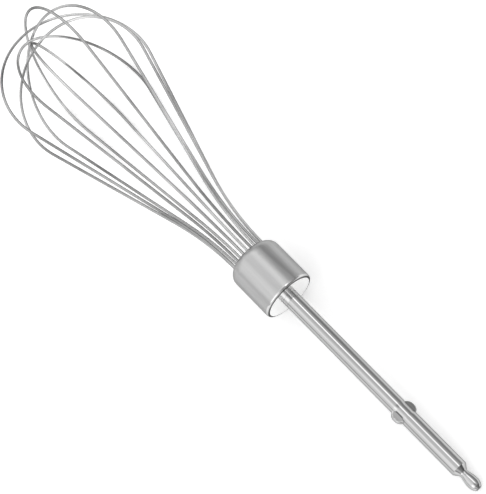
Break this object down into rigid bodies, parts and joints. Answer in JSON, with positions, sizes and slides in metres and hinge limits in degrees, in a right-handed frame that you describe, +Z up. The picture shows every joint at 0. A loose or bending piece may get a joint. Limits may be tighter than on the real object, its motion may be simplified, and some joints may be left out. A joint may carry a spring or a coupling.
{
  "type": "whisk attachment",
  "caption": "Balloon whisk attachment for a hand mixer: steel shaft with pressed drive ears, round collar and nested wire loops.",
  "frame": {"origin": "middle of the part's box, on the table that it lies on", "axes": "+X towards the drive tip and nearly along the shaft, +Z up from the table"},
  "size_m": [0.1964, 0.0452, 0.0447],
  "materials": {
    "shaft_steel": "polished",
    "collar_steel": "polished",
    "wire_steel": "drawn",
    "holder_resin": "moulded"
  },
  "bodies": {
    "root": {"drive_shaft": "shaft_steel", "collar_cup": "collar_steel", "collar_base": "collar_steel", "wire_holder": "holder_resin", "wire_loop_1": "wire_steel", "wire_loop_2": "wire_steel", "wire_loop_3": "wire_steel", "wire_loop_4": "wire_steel", "wire_loop_5": "wire_steel", "wire_loop_6": "wire_steel"}
  },
  "joints": []
}
